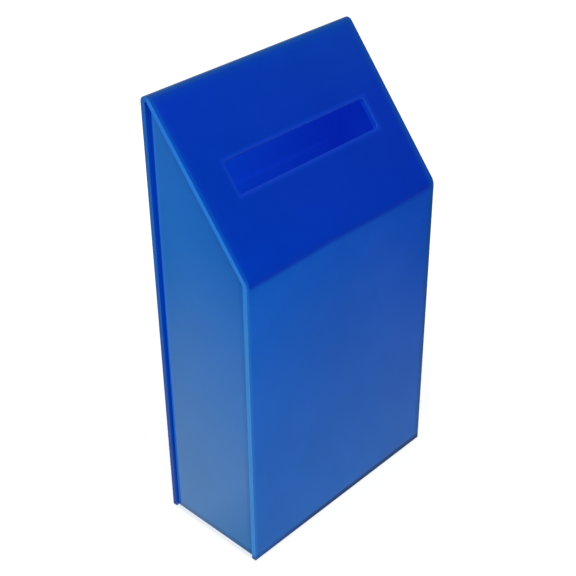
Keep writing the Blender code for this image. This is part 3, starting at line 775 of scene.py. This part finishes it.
def make_slot_cutter():
    """A bar square to the slope that flares at its mouth, so that the slot's outer rim comes out round."""
    profile = [(0.0, -SHEET - CUTTER_REACH)]
    for i in range(RIM_STEPS + 1):
        turn = math.radians(RIM_STEP_ANGLE * i)
        profile.append((SLOT_ROUNDOVER * (1 - math.cos(turn)), SLOT_ROUNDOVER * (math.sin(turn) - 1)))
    flare = SLOT_ROUNDOVER * RIM_FLARE
    profile += [(flare, SLOT_ROUNDOVER), (flare, CUTTER_REACH)]
    sections = []
    for grown, level in profile:
        length = SLOT_LENGTH + 2 * grown
        width = SLOT_WIDTH + 2 * grown
        ring = rounded_rectangle((0, 0), length, width, SLOT_CORNER_RADIUS + grown)
        sections.append([(x, y, level) for x, y in ring])
    cutter = loft("slot_cutter", sections, sides=SLOT_WALL)
    up = (math.cos(SLOPE_ANGLE), math.sin(SLOPE_ANGLE))
    middle = Vector((SLOT_X, FRONT_Y + SLOT_UP_SLOPE * up[0], FRONT_HEIGHT + SLOT_UP_SLOPE * up[1]))
    cutter.data.transform(Matrix.Translation(middle) @ Matrix.Rotation(SLOPE_ANGLE, 4, "X"))
    return cutter


def through_back(name, outline):
    """A cutter with this outline, through the back and the door in it."""
    start = BACK_Y - SHEET - CUTTER_REACH
    return prism(name, outline, "Y", start, BACK_Y + CUTTER_REACH, caps=(EDGE, EDGE))


def screw_holes(owner):
    """Cutters for the hinge screws of the frame or the door, where the screws stand."""
    cutters = []
    for node in frame["nodes"]:
        if f"_{owner}_screw_" in node:
            low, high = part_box(node)
            middle = (low + high) / 2
            cutters.append(through_back(f"{node}_hole", circle((middle.x, middle.z), SCREW_HOLE_RADIUS)))
    return cutters


def keep_glow_inside(shell):
    """Gives their own material to the strips of the inner side that stand out past the side panels."""
    bm = bmesh.new()
    bm.from_mesh(shell.data)
    panel_middle = abs(SIDE_LOW.x) - SHEET / 2
    for side in (-1, 1):
        geometry = [*bm.verts, *bm.edges, *bm.faces]
        plane = (side * panel_middle, 0, 0)
        bmesh.ops.bisect_plane(bm, geom=geometry, plane_co=plane, plane_no=(1, 0, 0))
    for face in bm.faces:
        if face.material_index == INSIDE and abs(face.calc_center_median().x) > panel_middle:
            face.material_index = DEEP
    bm.to_mesh(shell.data)
    bm.free()


def door_outline(clearance):
    """The door's outline, grown all round by the clearance."""
    middle = (DOOR_LOW + DOOR_HIGH) / 2
    width = DOOR_HIGH.x - DOOR_LOW.x + 2 * clearance
    height = DOOR_HIGH.z - DOOR_LOW.z + 2 * clearance
    return rounded_rectangle((middle.x, middle.z), width, height, DOOR_CORNER_RADIUS + clearance)


def make_shell():
    outer = sheet_line(0)
    inner = sheet_line(SHEET)[::-1]
    count = len(outer)
    sides = [FACE] * (count - 1) + [EDGE] + [INSIDE] * (count - 1) + [EDGE]
    ends = (EDGE, EDGE)
    shell = prism("shell_sheet", outer + inner, "X", SHELL_LOW.x, SHELL_HIGH.x, ends, sides)
    give_acrylic(shell, SHELL_FACE, DEEP_FACE, SLOT_WALL_FACE)
    keep_glow_inside(shell)
    opening = through_back("opening", door_outline(DOOR_CLEARANCE))
    cut(shell, make_slot_cutter(), opening, *screw_holes("frame"))
    finish_acrylic(shell, "bent_shell")


def make_side(node, side):
    low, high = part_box(node)
    caps = (FACE, INSIDE) if side < 0 else (INSIDE, FACE)
    panel = prism(f"{node}_sheet", sheet_line(SHEET + SEAM), "X", low.x, high.x, caps)
    give_acrylic(panel, SIDE_FACE)
    finish_acrylic(panel, node)


def make_floor():
    reach_x = FLOOR_HIGH.x + FLOOR_GROWTH
    reach_y = FLOOR_HIGH.y + FLOOR_GROWTH
    outline = rectangle(-reach_x, -reach_y, reach_x, reach_y)
    floor = prism("floor_sheet", outline, "Z", FLOOR_LOW.z, FLOOR_HIGH.z, caps=(FACE, INSIDE))
    give_acrylic(floor, PLAIN_FACE)
    finish_acrylic(floor, "floor_panel")


def make_door():
    door = prism("door_sheet", door_outline(0.0), "Y", DOOR_LOW.y, DOOR_HIGH.y)
    give_acrylic(door, PLAIN_FACE)
    low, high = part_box("lock_housing")
    middle = (low + high) / 2
    hole = circle((middle.x, middle.z), LOCK_HOLE_RADIUS, 2 * HOLE_STEPS)
    cut(door, through_back("lock_hole", hole), *screw_holes("door"))
    finish_acrylic(door, "access_door")


def make_strip(node):
    """A door stop or the keeper, bonded flat to the inside of the back."""
    low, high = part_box(node)
    middle = (low + high) / 2
    size = high - low
    outline = rounded_rectangle((middle.x, middle.z), size.x, size.z, STRIP_CORNER_RADIUS)
    back_face = BACK_Y - SHEET - SEAM
    strip = prism(f"{node}_strip", outline, "Y", low.y, back_face, (INSIDE, INSIDE), INSIDE)
    give_acrylic(strip, PLAIN_FACE)
    finish_acrylic(strip, node)


# Hardware

def refine(node, material):
    """A copy of a CAD piece with its edges eased, in the place of its node."""
    piece = bpy.data.objects.new(f"{node}_detail", frame["nodes"][node].data.copy())
    bpy.context.scene.collection.objects.link(piece)
    bm = bmesh.new()
    bm.from_mesh(piece.data)
    bmesh.ops.remove_doubles(bm, verts=bm.verts, dist=SAME_PLACE)
    limit = math.radians(SAME_PLANE_ANGLE)
    bmesh.ops.dissolve_limit(bm, angle_limit=limit, verts=bm.verts, edges=bm.edges)
    bmesh.ops.recalc_face_normals(bm, faces=bm.faces)
    bm.to_mesh(piece.data)
    bm.free()
    piece.data.materials.clear()
    piece.data.materials.append(material)
    ease_edges(piece, HARDWARE_EDGE, HARDWARE_STEPS, HARDWARE_ANGLE)
    finish_piece(piece, node)


def make_hardware():
    finishes = {
        "hinge_steel": make_brushed_steel(),
        "fastener_steel": make_zinc(),
        "lock_chrome": make_chrome(),
        "key_brass": make_brass(),
    }
    for part in frame["record"]["subparts"]:
        slot = part["material_slot"]
        if slot in finishes:
            refine(part["node"], finishes[slot])


# Stage, light and camera

def mixed_shader(tree, share, first, second):
    return add(tree, "ShaderNodeMixShader", {0: share, 1: first.outputs[0], 2: second.outputs[0]})


def make_ground():
    """A pale table. Part of its light is its own, which keeps shadows faint, and in polished faces it darkens
    away from the object, as a table in a dim room does. Its own light has a painted contact shadow round the
    object's footprint, and in polished faces it shows a painted shadow in front of the object."""
    bm = bmesh.new()
    bmesh.ops.create_circle(bm, cap_ends=True, segments=GROUND_SIDES, radius=GROUND_RADIUS)
    ground = linked_object("ground", bm)
    material, tree, shader = new_material("pale_ground")
    mottle = noise(tree, place_in(tree), scale=3.0, detail=3.0)
    tree.links.new(blend(tree, mottle, *GROUND_COLOURS), shader.inputs["Base Color"])
    shader.inputs["Roughness"].default_value = 0.9
    shader.inputs["Specular IOR Level"].default_value = 0.0
    parts = place_parts(tree)
    past_side = combine(tree, "SUBTRACT", without_sign(tree, parts["X"]), WIDTH / 2)
    past_face = combine(tree, "SUBTRACT", without_sign(tree, parts["Y"]), BACK_Y)
    away = combine(tree, "MAXIMUM", past_side, past_face)
    # Painted contact shadow: the table's own light turns grey round the object's footprint
    contact = spread(tree, away, 0.0, CONTACT_REACH, to_low=CONTACT_DEPTH, to_high=0.0)
    own_colour = blend(tree, contact, WHITE, CONTACT_SHADE)
    own_light = add(tree, "ShaderNodeEmission", {"Color": own_colour, "Strength": GROUND_OWN_STRENGTH})
    surface = mixed_shader(tree, GROUND_OWN_SHARE, shader, own_light)
    reach = {"Value": away, "From Max": MIRRORED_REACH, "To Min": MIRRORED_NEAR, "To Max": MIRRORED_FAR}
    pool = add(tree, "ShaderNodeMapRange", reach, interpolation_type="SMOOTHSTEP").outputs["Result"]
    # Painted shadow: in reflections the table is darker in front of the object
    in_front = spread(tree, parts["Y"], -0.07, 0.03, to_low=0.34, to_high=1.05)
    strength = combine(tree, "MULTIPLY", pool, in_front)
    mirrored = add(tree, "ShaderNodeEmission", {"Strength": strength})
    glossy = add(tree, "ShaderNodeLightPath").outputs["Is Glossy Ray"]
    either = mixed_shader(tree, glossy, surface, mirrored)
    tree.links.new(either.outputs[0], tree.nodes["Material Output"].inputs["Surface"])
    ground.data.materials.append(material)


def make_world():
    """White behind the object, and for everything else a dim room that is lighter behind the object."""
    world = bpy.data.worlds.new("studio")
    bpy.context.scene.world = world
    world.use_nodes = True
    tree = world.node_tree
    background = tree.nodes["Background"]
    where = add(tree, "ShaderNodeTexCoord").outputs["Generated"]
    parts = add(tree, "ShaderNodeSeparateXYZ", {"Vector": where}).outputs
    path = add(tree, "ShaderNodeLightPath").outputs
    behind = spread(tree, parts["Y"], 0.35, 0.95, to_low=0.0, to_high=0.7)
    overhead = spread(tree, parts["Z"], 0.55, 0.95, to_low=0.02, to_high=0.25)
    mirrored = combine(tree, "MULTIPLY", combine(tree, "ADD", behind, overhead), path["Is Glossy Ray"])
    seen = combine(tree, "MAXIMUM", mirrored, path["Is Camera Ray"])
    diffuse = combine(tree, "MULTIPLY", path["Is Diffuse Ray"], ROOM_LIGHT)
    tree.links.new(combine(tree, "MAXIMUM", seen, diffuse), background.inputs["Strength"])
    background.inputs["Color"].default_value = (*WHITE, 1.0)


def aim(thing, towards):
    direction = Vector(towards) - thing.location
    thing.rotation_euler = direction.to_track_quat("-Z", "Y").to_euler()


def add_lamp(name, light, place, towards):
    lamp = bpy.data.objects.new(name, light)
    bpy.context.scene.collection.objects.link(lamp)
    lamp.location = place
    aim(lamp, towards)
    return lamp


def make_sun():
    """Soft light from above the left of the front, which doesn't show in polished faces."""
    light = bpy.data.lights.new("key", "SUN")
    light.energy = SUN_STRENGTH
    light.angle = math.radians(SUN_SPREAD)
    lamp = add_lamp("key", light, Vector(SUN_FROM) * SUN_DISTANCE, (0, 0, 0))
    lamp.visible_glossy = False


def make_softbox():
    """A broad light behind the object, for its back, its bends and its edges."""
    light = bpy.data.lights.new("behind", "AREA")
    light.shape = "RECTANGLE"
    light.size, light.size_y = SOFTBOX_SIZE
    light.energy = SOFTBOX_POWER
    add_lamp("behind", light, SOFTBOX_PLACE, SOFTBOX_AIM)


def make_camera():
    azimuth = math.radians(CAMERA_AZIMUTH)
    elevation = math.radians(CAMERA_ELEVATION)
    roll = math.radians(CAMERA_ROLL)
    data = bpy.data.cameras.new("camera")
    data.sensor_width = CAMERA_SENSOR
    data.lens = CAMERA_LENS
    data.clip_end = CAMERA_REACH
    camera = bpy.data.objects.new("camera", data)
    bpy.context.scene.collection.objects.link(camera)
    level = math.cos(elevation)
    back = Vector((math.sin(azimuth) * level, -math.cos(azimuth) * level, math.sin(elevation)))
    right = Vector((0, 0, 1)).cross(back).normalized()
    up = back.cross(right)
    turned_right = math.cos(roll) * right + math.sin(roll) * up
    turned_up = math.cos(roll) * up - math.sin(roll) * right
    pose = Matrix((turned_right, turned_up, back)).transposed().to_4x4()
    pose.translation = Vector(CAMERA_PLACE)
    camera.matrix_world = pose
    bpy.context.scene.camera = camera


SHELL_LIGHT_AND_SHADE = (left_front_light, left_slope_light, right_shade, back_bend_light, slot_rim_light)
SIDE_LIGHT_AND_SHADE = (back_joint_light, back_joint_shade)
SHELL_FACE = make_face_material("acrylic_shell_face", SHELL_LIGHT_AND_SHADE, front_bend_lift)
SIDE_MATT_LINES = ((joint_shade_line, JOINT_SHADE_LOSS), (front_joint, FRONT_JOINT_LOSS))
SIDE_FACE = make_face_material("acrylic_side_face", SIDE_LIGHT_AND_SHADE, matt_lines=SIDE_MATT_LINES)
PLAIN_FACE = make_face_material("acrylic_face")
DEEP_FACE = make_deep_material()
SLOT_WALL_FACE = make_slot_wall_material()
CUT_EDGE = make_edge_material()
INSIDE_FACE = make_inside_material()

make_shell()
make_side("left_side_panel", -1)
make_side("right_side_panel", 1)
make_floor()
make_door()
for strip_node in ("top_door_stop", "bottom_door_stop", "keeper_block"):
    make_strip(strip_node)
make_hardware()
make_ground()
make_world()
make_sun()
make_softbox()
make_camera()
bpy.context.scene.view_settings.view_transform = "Standard"
